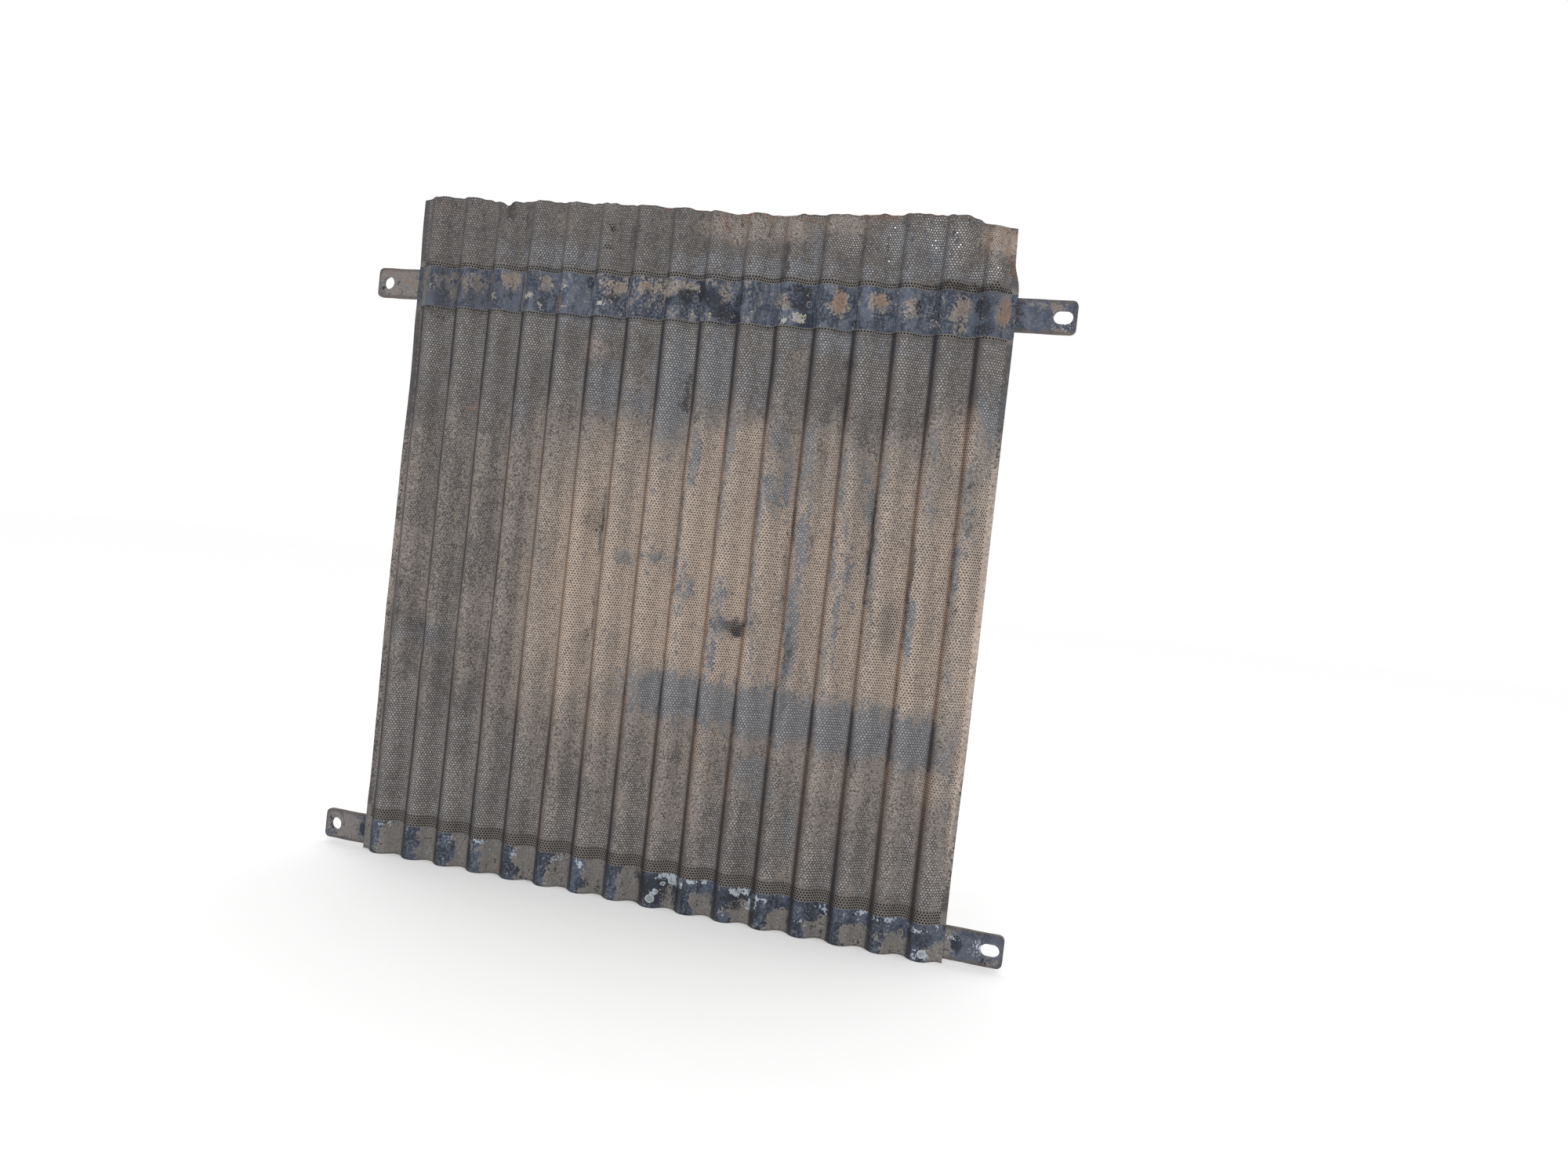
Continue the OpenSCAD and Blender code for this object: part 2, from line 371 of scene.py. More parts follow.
def black_hole_layer(x, z):
    """Where holes are black: in the rows next to the bands, as painted shadow of the straps behind, and in a
    few areas.
    """
    near = np.minimum(np.abs(z - UPPER_BAND[0]) / 0.0050, np.abs(z - UPPER_BAND[1]) / 0.0075)
    near = np.minimum(near, np.abs(z - LOWER_BAND_TOP) / 0.0150)
    return np.maximum(ease((1.15 - near) / 0.3), ovals(x, z, BLACK_HOLES, 0.8))


def mud_layer(x, z):
    """Dried mud on the bands: crumbs and clods on the upper one, and a coat on the lower one.

    The coat leaves the paint bare on the crests, more or less, and on the right half
    above a wavy waterline.
    """
    phase = across_ridge(x)
    crest = ease(phase / 0.06) * ease((0.44 - phase + 0.3 * (mottle(x, z, 0.009, 33) - 0.5)) / 0.05)
    crest = crest * (1 - 0.45 * (mottle(x, z, 0.012, 35) > 0.62))
    waterline = LOWER_Z - 0.001 + 0.016 * (mottle(x, z * 0, 0.014, 34) - 0.5)
    above_water = ease((x + 0.01) / 0.03) * ease((z - waterline) / 0.003)
    crumbs = profile(x, BAND_CRUMBS) * (0.9 + 0.5 * ease((z - UPPER_Z) / 0.01))
    upper_mud = np.maximum(ovals(x, z, BAND_DUST, 0.9), crumbs)
    return np.where(z < 0, 1 - np.maximum(crest, above_water), upper_mud)


def weather(x, z, slope):
    """The amount of each layer of dirt, paint and painted shade at x and z, where the wave has that slope.

    Painted shade goes on the side of each ridge that faces right.
    """
    in_band = in_painted_band(z)
    cloud = mottle(x, z, 0.03, 31) - 0.5
    streak = mottle(x, z / 12, 0.005, 32) + mottle(x, z / 8, 0.012, 36) - 1
    skirt_grime = 0.42 * ease((z - 0.362) / 0.03) * (0.8 + 0.6 * streak)
    stain = np.maximum(ovals(x, z, STAIN, 1.4), skirt_grime)
    slate = np.maximum(ovals(x, z, SLATE, 1.5), 0.50 * strip_layer(x, z, streak))
    pale_holes = np.maximum(profile(z, PALE_HOLES_UP) + 0.5 * cloud, ovals(x, z, PALE_HOLES))
    return {
        "dust": dust_layer(x, z, stain, cloud, streak),
        "slate": slate * (1 + 0.5 * streak),
        "stain": stain,
        "rust": np.where(in_band, ovals(x, z, BAND_RUST), ovals(x, z, RUST)),
        "paint": in_band.astype(float),
        "upper": ((z > 0) & in_band).astype(float),
        "mud": mud_layer(x, z) * in_band,
        "chips": ovals(x, z, BAND_CHIPS, 0.6) * in_band,
        "flakes": ovals(x, z, BAND_FLAKES, 0.6) * in_band,
        "groove": groove_dirt_and_shade_layer(x, z, in_band),
        "black_holes": black_hole_layer(x, z),
        # Painted shade on the side of each ridge that faces right.
        "right_flank_shade": ease((0.1 - slope) / 0.9),
        "pale_holes": np.clip(pale_holes, 0, 1),
    }


# -------------------- the punched lattice
COLUMNS = round(SHEET_U / HOLE_PITCH)
PITCH_U = SHEET_U / COLUMNS
ROWS = 2 * round(SHEET_H / (PITCH_U * math.sqrt(3)))
PITCH_V = SHEET_H / ROWS
HEX_R = HOLE_D / 2 * math.sqrt(2 * math.pi / (3 * math.sqrt(3)))
CORNER_ANGLES = np.radians(30 + 60 * np.arange(6))


def lattice():
    """Cell centres of the staggered rows, u and v, each (rows, columns).

    Odd rows are set half a pitch over, and every row ends on the side edges.
    """
    rows, cols = np.meshgrid(np.arange(ROWS + 1), np.arange(COLUMNS + 2), indexing="ij")
    u = np.clip((cols - 0.5 * (rows % 2)) * PITCH_U, 0, SHEET_U)
    return u, rows * PITCH_V


def punched(u, v):
    """True where a cell is punched: clear of the bands over the straps, the side margins and the top rim."""
    clear_of_sides = (u > PLAIN_SIDE) & (u < SHEET_U - PLAIN_SIDE)
    return clear_of_sides & ~in_painted_band(SHEET_LOW[2] + v) & (v < SHEET_H - PLAIN_TOP)


OPEN_AREAS = [
    (262, 408, 16, 18, 0.05), (284, 400, 12, 22, 0.05), (216, 402, 12, 18, 0.03), (318, 372, 10, 8, 0.04),
]


def open_share(x, z):
    """The chance that a hole isn't caked shut: a few in a hundred in areas of the free skirt, else none."""
    return ovals(x, z, OPEN_AREAS, 1.0)


def honeycomb():
    """Front triangles of the whole sheet in the flat.

    A punched cell is six corners round its hole, and a plain cell is one point. Three
    cells that meet give a triangle, and two neighbours give the strip between them,
    which narrows to a triangle or to nothing at a plain cell. A hole that is caked shut
    gets a middle point and six triangles round it.

    Gives the points (u, v), the triangles, which of them fill a hole, the number of the
    first middle point, and a random number for each point, the same all round a hole.
    """
    u, v = lattice()
    is_hole = punched(u, v)
    count = np.where(is_hole, 6, 1).ravel()
    first = np.concatenate([[0], np.cumsum(count)[:-1]]).reshape(u.shape)
    corner = first[..., None] + np.where(is_hole[..., None], np.arange(6), 0)
    even_end = np.arange(0, ROWS + 1, 2)
    corner[even_end, -1] = corner[even_end, -2]
    points = np.zeros((count.sum(), 2))
    points[first[~is_hole]] = np.stack([u[~is_hole], v[~is_hole]], axis=-1)
    ring = HEX_R * np.stack([np.cos(CORNER_ANGLES), np.sin(CORNER_ANGLES)], axis=-1)
    middles = np.stack([u[is_hole], v[is_hole]], axis=-1)
    points[first[is_hole][:, None] + np.arange(6)] = middles[:, None, :] + ring

    triangles = []

    def gap(a, b, d, corner_a, corner_b, corner_d):
        parts = [a[..., corner_a], b[..., corner_b], d[..., corner_d]]
        triangles.append(np.stack(parts, axis=-1).reshape(-1, 3))

    def strip(a, b, a_right, b_right, b_left, a_left):
        p, q, r, t = a[..., a_right], b[..., b_right], b[..., b_left], a[..., a_left]
        triangles.append(np.stack([p, q, r], axis=-1).reshape(-1, 3))
        triangles.append(np.stack([p, r, t], axis=-1).reshape(-1, 3))

    strip(corner[:, :-1], corner[:, 1:], 5, 3, 2, 0)
    row_pairs = ((corner[0:-1:2], corner[1::2], False), (corner[1:-1:2], corner[2::2], True))
    for low, high, leans_left in row_pairs:
        low_left, low_right = low[:, :-1], low[:, 1:]
        high_left, high_right = high[:, :-1], high[:, 1:]
        if leans_left:
            gap(low_left, low_right, high_left, 0, 2, 4)
            gap(low_right, high_right, high_left, 1, 3, 5)
            strip(low, high, 0, 4, 3, 1)
            strip(low_right, high_left, 1, 5, 4, 2)
        else:
            gap(low_left, low_right, high_right, 0, 2, 4)
            gap(low_left, high_right, high_left, 1, 3, 5)
            strip(low, high, 1, 5, 4, 2)
            strip(low_left, high_right, 0, 4, 3, 1)
    triangles = np.concatenate(triangles)

    place = sheet_place(middles[:, 0], middles[:, 1], 0.0)
    filled = np.random.default_rng(11).random(len(middles)) > open_share(place[:, 0], place[:, 2])
    ring_start = first[is_hole][filled]
    centre = len(points) + np.arange(filled.sum())
    chance = np.random.default_rng(12).random(len(points))
    own = chance[first[is_hole]]
    chance[first[is_hole][:, None] + np.arange(6)] = own[:, None]
    chance = np.concatenate([chance, own[filled]])
    points = np.concatenate([points, middles[filled]])
    side = np.arange(6)
    plug = np.stack(
        [ring_start[:, None] + side, ring_start[:, None] + (side + 1) % 6, np.repeat(centre[:, None], 6, 1)],
        axis=-1,
    ).reshape(-1, 3)
    is_plug = np.concatenate([np.zeros(len(triangles), bool), np.ones(len(plug), bool)])
    triangles = np.concatenate([triangles, plug])
    a, b, d = triangles.T
    keep = (a != b) & (b != d) & (a != d)
    return points, triangles[keep], is_plug[keep], centre[0], chance


def open_edges(triangles):
    """Start and end of each edge that no other triangle runs along the other way."""
    starts, ends = triangles.ravel(), np.roll(triangles, -1, axis=1).ravel()
    size = triangles.max() + 1
    alone = ~np.isin(starts * size + ends, ends * size + starts)
    return starts[alone], ends[alone]


def new_piece(name, points, triangles, smooth, material):
    """A mesh object of those points and triangles, at the origin, riding on the root body."""
    mesh = bpy.data.meshes.new(name)
    mesh.vertices.add(len(points))
    mesh.vertices.foreach_set("co", points.astype(np.float32).ravel())
    mesh.loops.add(triangles.size)
    mesh.loops.foreach_set("vertex_index", triangles.astype(np.int32).ravel())
    mesh.polygons.add(len(triangles))
    mesh.polygons.foreach_set("loop_start", np.arange(0, triangles.size, 3, dtype=np.int32))
    mesh.polygons.foreach_set("use_smooth", np.broadcast_to(smooth, len(triangles)).copy())
    mesh.materials.append(material)
    mesh.update(calc_edges=True)
    piece = bpy.data.objects.new(name, mesh)
    bpy.context.scene.collection.objects.link(piece)
    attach(piece, "root")
    return piece


def set_attribute(piece, name, values, domain="POINT"):
    """A plain number for each point or face, which the materials read by name."""
    layer = piece.data.attributes.new(name, "FLOAT", domain)
    layer.data.foreach_set("value", values.astype(np.float32))


def make_sheet(material):
    """The punched sheet, one closed piece for each ridge.

    It is split half way up the ridges' left flanks, where the wave is straight. The
    back is the front shifted by the sheet's thickness, and each open edge carries a
    wall of two triangles to the same edge of the back.
    """
    flat, triangles, is_plug, plug_start, chance = honeycomb()
    middle_u = flat[triangles, 0].mean(axis=1)
    owner = np.clip(np.floor((middle_u - SIDE_MARGIN) / RIDGE_U - 0.25), 0, RIDGES - 1).astype(int)
    back = sheet_place(flat[:, 0], flat[:, 1], np.zeros(len(flat)))
    slope = wave(np.interp(flat[:, 0], WALK_U, WALK_S))[1]
    layers = weather(back[:, 0], back[:, 2], slope)
    layers["chance"] = chance
    core = (np.arange(len(flat)) >= plug_start).astype(float)
    sunk = core * (DIMPLE + (DEEP_DIMPLE - DIMPLE) * layers["black_holes"])
    front = sheet_place(flat[:, 0], flat[:, 1], SHEET_T - sunk)
    for ridge in range(RIDGES):
        mine = owner == ridge
        used, local = np.unique(triangles[mine], return_inverse=True)
        faces = local.reshape(-1, 3)
        n = len(used)
        a, b = open_edges(faces)
        walls = np.concatenate([np.stack([b, a, a + n], -1), np.stack([b, a + n, b + n], -1)])
        points = np.concatenate([front[used], back[used]])
        mesh_faces = np.concatenate([faces, faces[:, ::-1] + n, walls])
        plugs = is_plug[mine]
        smooth = np.concatenate([~plugs, ~plugs, np.zeros(len(walls), bool)])
        piece = new_piece(f"sheet_ridge_{ridge + 1:02d}", points, mesh_faces, smooth, material)
        set_attribute(piece, "caked", np.concatenate([plugs, plugs, np.zeros(len(walls))]), "FACE")
        set_attribute(piece, "core", np.tile(core[used], 2))
        set_attribute(piece, "rear", np.repeat([0.0, 1.0], n))
        for name, amount in layers.items():
            set_attribute(piece, name, np.tile(amount[used], 2))
        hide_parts("corrugated_sheet")


# -------------------- finishes
def tint(red, green, blue):
    """A colour given as it shows on a screen, 0 to 255, as the linear numbers that a shader takes."""
    shown = np.array([red, green, blue]) / 255
    linear = np.where(shown <= 0.04045, shown / 12.92, ((shown + 0.055) / 1.055) ** 2.4)
    return (*(float(part) for part in linear), 1.0)


class Finish:
    """One procedural material. Each call adds a node and gives back its output socket."""

    def __init__(self, name):
        self.material = bpy.data.materials.new(name)
        self.material.use_nodes = True
        self.nodes = self.material.node_tree.nodes
        self.links = self.material.node_tree.links
        self.shader = self.nodes["Principled BSDF"]
        self.place = self.nodes.new("ShaderNodeTexCoord").outputs["Object"]
        self.noises = {}

    def feed(self, socket, value):
        """Joins an output to this input, or sets a plain value on it."""
        if isinstance(value, bpy.types.NodeSocket):
            self.links.new(value, socket)
        else:
            socket.default_value = value

    def amount(self, name):
        """A number stored on the mesh."""
        node = self.nodes.new("ShaderNodeAttribute")
        node.attribute_name = name
        return node.outputs["Fac"]

    def noise(self, name, size, seed, detail, tall=1.0):
        """Cloudy noise from 0 to 1, kept by name: lumps of that size in metres, and so many times as tall."""
        squash = self.nodes.new("ShaderNodeVectorMath")
        squash.operation = "MULTIPLY"
        self.feed(squash.inputs[0], self.place)
        squash.inputs[1].default_value = (1, 1, 1 / tall)
        node = self.nodes.new("ShaderNodeTexNoise")
        node.noise_dimensions = "4D"
        self.feed(node.inputs["Vector"], squash.outputs["Vector"])
        node.inputs["W"].default_value = seed
        node.inputs["Scale"].default_value = 1 / size
        node.inputs["Detail"].default_value = detail
        node.inputs["Roughness"].default_value = 0.6
        self.noises[name] = self.ramp(node.outputs["Fac"], 0.26, 0.74)
        return self.noises[name]

    def distance(self, x, z):
        """How far a point is from this x and z, seen from the front."""
        shift = self.nodes.new("ShaderNodeVectorMath")
        shift.operation = "SUBTRACT"
        self.feed(shift.inputs[0], self.place)
        shift.inputs[1].default_value = (x, 0, z)
        flat = self.nodes.new("ShaderNodeVectorMath")
        flat.operation = "MULTIPLY"
        self.feed(flat.inputs[0], shift.outputs["Vector"])
        flat.inputs[1].default_value = (1, 0, 1)
        length = self.nodes.new("ShaderNodeVectorMath")
        length.operation = "LENGTH"
        self.feed(length.inputs[0], flat.outputs["Vector"])
        return length.outputs["Value"]

    def math(self, operation, a, b):
        """The sum, difference, product or larger of two numbers."""
        node = self.nodes.new("ShaderNodeMath")
        node.operation = operation
        self.feed(node.inputs[0], a)
        self.feed(node.inputs[1], b)
        return node.outputs[0]

    def ramp(self, value, low, high, from_value=0.0, to_value=1.0):
        """A smooth step from one value at low to the other at high."""
        node = self.nodes.new("ShaderNodeMapRange")
        node.interpolation_type = "SMOOTHSTEP"
        self.feed(node.inputs["Value"], value)
        node.inputs["From Min"].default_value = low
        node.inputs["From Max"].default_value = high
        node.inputs["To Min"].default_value = from_value
        node.inputs["To Max"].default_value = to_value
        return node.outputs["Result"]

    def rough_edge(self, value, noise, spread):
        """A number moved up and down by noise, so that a threshold on it has a broken outline."""
        moved = self.math("MULTIPLY", self.math("SUBTRACT", noise, 0.5), spread)
        return self.math("ADD", value, moved)

    def layer(self, name, **spreads):
        """A number stored on the mesh, with its outline broken by each noise named, to that spread."""
        value = self.amount(name)
        for noise, spread in spreads.items():
            value = self.rough_edge(value, self.noises[noise], spread)
        return value

    def mix(self, share, first, second):
        """From the first colour at share 0 to the second at share 1, each an output or a tint's numbers."""
        node = self.nodes.new("ShaderNodeMix")
        node.data_type = "RGBA"
        self.feed(node.inputs["Factor"], share)
        for socket, colour in ((node.inputs[6], first), (node.inputs[7], second)):
            self.feed(socket, tint(*colour) if isinstance(colour, tuple) else colour)
        return node.outputs[2]

    def coats(self, colour, *coats):
        """A colour under coats, each of them a share and its own colour, the last on top."""
        for share, coat in coats:
            colour = self.mix(share, colour, coat)
        return colour

    def finish(self, colour, roughness, height, depth):
        """Joins colour, roughness and a bump of that height map and depth in metres."""
        self.feed(self.shader.inputs["Base Color"], colour)
        self.feed(self.shader.inputs["Roughness"], roughness)
        self.shader.inputs["Specular IOR Level"].default_value = 0.35
        bump = self.nodes.new("ShaderNodeBump")
        bump.inputs["Distance"].default_value = depth
        bump.inputs["Strength"].default_value = 0.8
        self.feed(bump.inputs["Height"], height)
        self.links.new(bump.outputs["Normal"], self.shader.inputs["Normal"])
        return self.material


def mesh_colour(f, stain):
    """Punched steel: the web between the holes, and the fillings, which are paler or darker than it."""
    blotch, grain, speck = (f.noises[name] for name in ("blotch", "grain", "speck"))
    chance, groove, black_holes = (f.amount(name) for name in ("chance", "groove", "black_holes"))
    dust = f.layer("dust", cloud=0.20)
    broken = f.rough_edge(f.rough_edge(dust, blotch, 0.34), grain, 0.50)
    dusty = f.ramp(broken, 0.15, 0.55)
    tan = f.ramp(broken, 0.50, 0.95)
    slate = f.ramp(f.layer("slate", cloud=0.3, blotch=0.7, grain=0.8), 0.26, 0.60, 0.0, 0.92)
    rust = f.ramp(f.layer("rust", blotch=0.7, grain=0.5), 0.3, 0.9, 0.0, 0.6)
    pale_holes = f.ramp(f.layer("pale_holes", blotch=0.5), 0.10, 0.9)
    warm = f.math("MULTIPLY", dust, f.math("SUBTRACT", 1.0, slate))
    # The groove masks are dirt and painted shade: the wide one browns each left flank under dust and darkens
    # it elsewhere, and the thin one paints a dark crease line down its middle.
    wide_groove = f.ramp(groove, 0.15, 0.80, 0.0, 0.65)
    thin_groove = f.math("MULTIPLY", f.ramp(groove, 0.72, 0.96), f.ramp(warm, 0.2, 0.8, 0.82, 0.35))

    web = f.coats(
        f.mix(grain, (62, 60, 59), (98, 94, 92)),
        (f.ramp(blotch, 0.3, 0.9, 0.0, 0.4), (82, 84, 92)),
        (dusty, f.mix(grain, (130, 122, 116), (162, 152, 144))),
        (tan, f.mix(grain, (164, 148, 136), (202, 185, 171))),
        (f.math("MULTIPLY", black_holes, 0.85), (118, 114, 110)),
        (slate, f.mix(grain, (66, 68, 73), (102, 104, 109))),
        (stain, (60, 56, 54)),
        (rust, (136, 96, 70)),
        (wide_groove, f.mix(warm, (72, 71, 75), (152, 122, 99))),
        (thin_groove, f.mix(warm, (38, 39, 47), (88, 71, 60))),
        (f.ramp(speck, 0.55, 1.0, 0.0, 0.30), (70, 66, 64)),
    )

    filling = f.coats(
        f.mix(chance, (108, 104, 102), (150, 146, 143)),
        (pale_holes, f.mix(chance, (150, 147, 145), (188, 185, 182))),
        # Under dust the fillings turn darker than the web: partly dirt, partly painted shade in the holes.
        (dusty, f.mix(chance, (78, 70, 64), (124, 113, 103))),
        (tan, f.mix(chance, (66, 56, 49), (112, 97, 85))),
        (slate, f.mix(chance, (138, 140, 144), (172, 173, 176))),
        (stain, (44, 41, 39)),
        # Painted shade in the grooves darkens the fillings there too.
        (wide_groove, f.mix(warm, (42, 40, 42), (78, 57, 44))),
        (thin_groove, (24, 22, 23)),
        # Painted shadow: the fillings next to the bands are near-black, standing for the shade of the straps
        # behind.
        (black_holes, (14, 12, 11)),
    )

    dot = f.ramp(f.amount("core"), 0.0, 0.18)
    # Where that painted shadow falls, the filling colour covers the whole hole.
    spread = f.math("MAXIMUM", dot, f.ramp(black_holes, 0.3, 0.8))
    spread = f.math("MAXIMUM", spread, f.amount("rear"))
    return f.mix(f.math("MULTIPLY", f.amount("caked"), spread), web, filling)


def band_colour(f, stain, chips, flakes):
    """Old slate paint on the bands, with mud, rust, dark chips, blisters and pale flakes over it, and painted
    shade down its grooves.
    """
    cloud, blotch, grain, speck = f.noises.values()
    upper = f.amount("upper")
    deep = f.mix(upper, (36, 41, 54), (46, 52, 66))
    light = f.mix(upper, (72, 80, 97), (84, 91, 106))
    dirt = f.coats(
        f.mix(f.layer("dust", grain=0.8), (114, 111, 107), (164, 155, 146)),
        (upper, f.mix(grain, (98, 93, 90), (166, 154, 141))),
        (f.ramp(speck, 0.6, 1.0, 0.0, 0.6), (70, 66, 66)),
    )
    mud = f.ramp(f.layer("mud", blotch=1.0, grain=0.9, speck=0.5), 0.42, 0.66, 0.0, 0.9)
    soft_rust = f.ramp(f.layer("rust", blotch=0.5), 0.15, 1.1, 0.0, 0.75)
    paint = f.coats(
        f.mix(f.ramp(f.rough_edge(cloud, blotch, 0.9), 0.2, 0.8), deep, light),
        (f.ramp(grain, 0.35, 1.0, 0.0, 0.65), (112, 119, 130)),
        (f.ramp(speck, 0.6, 1.0, 0.0, 0.7), (36, 39, 48)),
        (mud, dirt),
        (soft_rust, f.mix(grain, (116, 93, 80), (152, 121, 98))),
        (chips, f.mix(speck, (18, 20, 26), (42, 45, 55))),
    )
    for middle_x, middle_z, radius in BLISTERS:
        near = f.distance(middle_x * MM, middle_z * MM)
        inside = f.ramp(f.rough_edge(near, grain, 0.0012), radius * MM, radius * MM * 0.85)
        ring = f.ramp(near, radius * MM * 0.55, radius * MM * 0.95)
        paint = f.mix(inside, paint, f.mix(ring, (136, 142, 144), (190, 200, 206)))
    flake = f.mix(speck, (146, 154, 164), (198, 207, 216))
    flake = f.mix(upper, flake, f.mix(speck, (138, 136, 134), (196, 190, 180)))
    return f.coats(
        paint,
        (flakes, flake),
        # Painted shade: the grooves across the bands are darkened nearly to black.
        (f.ramp(f.amount("groove"), 0.5, 0.95, 0.0, 0.80), (34, 34, 38)),
        (f.math("MULTIPLY", stain, 0.6), (58, 56, 59)),
    )


def rear_colour(f):
    """The sheet's back: dull grey with brown rust clouds, dusty hole fillings and traces of paint."""
    filling = f.mix(f.amount("chance"), (96, 88, 80), (146, 134, 120))
    return f.coats(
        f.mix(f.noises["cloud"], (74, 72, 70), (106, 99, 92)),
        (f.ramp(f.noises["blotch"], 0.6, 0.9, 0.0, 0.7), (112, 80, 58)),
        (f.math("MULTIPLY", f.amount("caked"), 0.8), filling),
        (f.math("MULTIPLY", f.amount("paint"), 0.7), (62, 66, 76)),
    )


def sheet_finish():
    """Punched steel caked with dust and dirt, with painted bands over the straps, and painted shade in the
    grooves and on the right side of each ridge.
    """
    f = Finish("weathered_sheet")
    f.noise("cloud", 0.030, 1.0, 4.0, tall=1.6)
    f.noise("blotch", 0.008, 2.0, 5.0, tall=1.8)
    grain = f.noise("grain", 0.0024, 3.0, 3.0)
    speck = f.noise("speck", 0.0010, 4.0, 2.0)
    stain = f.ramp(f.layer("stain", blotch=0.8, grain=0.9), 0.30, 0.95, 0.0, 0.8)
    chips = f.ramp(f.layer("chips", blotch=1.2, grain=1.5, speck=0.6), 0.62, 0.80)
    flakes = f.ramp(f.layer("flakes", blotch=1.2, grain=1.3), 0.66, 0.80)

    in_band = f.ramp(f.amount("paint"), 0.4, 0.6)
    front = f.mix(in_band, mesh_colour(f, stain), band_colour(f, stain, chips, flakes))
    # Painted shade: the side of each ridge that faces right is darkened by up to a tenth.
    front = f.mix(f.math("MULTIPLY", f.amount("right_flank_shade"), 0.10), front, (70, 66, 64))
    colour = f.mix(f.ramp(f.amount("rear"), 0.3, 0.7), front, rear_colour(f))

    rough = f.ramp(f.layer("paint", grain=0.5), 0.2, 1.0, 0.92, 0.62)
    relief = f.math("ADD", f.math("MULTIPLY", grain, 0.6), f.math("MULTIPLY", speck, 0.4))
    relief = f.math("ADD", relief, f.math("MULTIPLY", flakes, 0.8))
    relief = f.math("SUBTRACT", relief, f.math("MULTIPLY", chips, 0.8))
    return f.finish(colour, rough, relief, 0.0004)


def strap_finish(name):
    """Flat steel bar with old slate paint, dried mud, rust freckles, flakes and worn edges."""
    f = Finish(name)
    cloud = f.noise("cloud", 0.030, 5.0, 4.0)
    blotch = f.noise("blotch", 0.007, 6.0, 5.0)
    grain = f.noise("grain", 0.0018, 7.0, 3.0)
    speck = f.noise("speck", 0.0009, 10.0, 2.0)
    mud = f.layer("mud", blotch=0.9, grain=0.5)
    navy = f.ramp(f.layer("navy", blotch=0.9, grain=0.5), 0.45, 0.6)
    rust = f.ramp(f.layer("rust", blotch=0.9, grain=0.7), 0.4, 0.9, 0.0, 0.7)
    worn = f.ramp(f.layer("wear", blotch=0.6), 0.2, 0.9, 0.0, 0.7)
    flakes = f.ramp(f.layer("flakes", blotch=0.8, grain=1.2), 0.75, 0.9)

    colour = f.coats(
        f.mix(f.rough_edge(cloud, blotch, 0.8), (52, 58, 72), (88, 94, 108)),
        (f.ramp(grain, 0.45, 1.0, 0.0, 0.6), (112, 116, 126)),
        (f.ramp(speck, 0.6, 1.0, 0.0, 0.6), (40, 42, 52)),
        (f.ramp(mud, 0.25, 0.75, 0.0, 0.9), f.mix(grain, (102, 98, 95), (138, 131, 126))),
        (navy, (42, 47, 58)),
        (rust, (124, 99, 82)),
        (worn, f.mix(blotch, (52, 48, 46), (96, 86, 78))),
        (flakes, (186, 190, 196)),
    )
    rough = f.ramp(mud, 0.2, 0.8, 0.55, 0.88)
    relief = f.math("ADD", f.math("MULTIPLY", blotch, 0.7), f.math("MULTIPLY", grain, 0.3))
    return f.finish(colour, rough, relief, 0.0005)


def weld_finish(name, low_colour, high_colour):
    """A spot weld's pressed ring, with painted shade in the dimple, a painted highlight on the nib in its
    middle, and a lighter rim.
    """
    f = Finish(name)
    blotch = f.noise("blotch", 0.004, 8.0, 4.0)
    grain = f.noise("grain", 0.0012, 9.0, 3.0)
    colour = f.coats(
        f.mix(f.rough_edge(blotch, grain, 0.5), low_colour, high_colour),
        # The rim is lighter, the dimple gets painted shade and the nib a painted highlight.
        (f.ramp(f.amount("rim"), 0.3, 1.0, 0.0, 0.14), (168, 158, 148)),
        (f.ramp(f.amount("dimple_shade"), 0.3, 1.0, 0.0, 0.30), (62, 58, 56)),
        (f.ramp(f.amount("nib"), 0.4, 0.9, 0.0, 0.4), (176, 170, 164)),
    )
    relief = f.math("ADD", f.math("MULTIPLY", blotch, 0.6), f.math("MULTIPLY", grain, 0.4))
    return f.finish(colour, f.ramp(f.amount("rim"), 0.0, 1.0, 0.85, 0.55), relief, 0.0003)


# -------------------- straps
STRAP_STEP = 0.006
STRAP_EDGE = 0.0008
STRAP_FACE_WANDER = 0.0006
STRAP_EDGE_WANDER = 0.0007
WORN_EDGE = 0.0025
# Each strap's mud, navy paint, rust and flakes, as areas in millimetres.
UPPER_MARKS = {
    "mud": [(-385, 332, 34, 26, 1.0), (396, 337, 8, 8, 1.0), (400, 317, 9, 5, 0.9), (372, 345, 20, 3, 0.6)],
    "navy": [(-384, 330, 5, 11, 0.5), (-408, 322, 4, 8, 0.6), (358, 316, 8, 6, 0.7), (355, 335, 4, 20, 0.6)],
    "rust": [(-400, 344, 10, 5, 0.7), (-372, 336, 10, 8, 0.5), (398, 343, 8, 4, 0.7),
             (-395, 316, 14, 4, 0.6)],
    "flakes": [(405, 324, 6, 8, 0.5), (-397, 332, 9, 9, 0.3)],
}
LOWER_MARKS = {
    "mud": [(-385, -331, 34, 20, 0.8), (352, -330, 12, 20, 0.9), (400, -345, 14, 5, 0.8),
            (385, -316, 26, 4, 0.5)],
    "navy": [(-361, -333, 9, 11, 1.0), (365, -331, 6, 11, 1.0), (-406, -330, 5, 14, 0.4),
             (392, -345, 8, 6, 0.5)],
    "rust": [(-372, -320, 12, 5, 0.4), (404, -322, 8, 8, 0.3)],
    "flakes": [(386, -332, 9, 11, 0.6), (360, -326, 6, 5, 0.7), (352, -322, 6, 8, 0.6)],
}


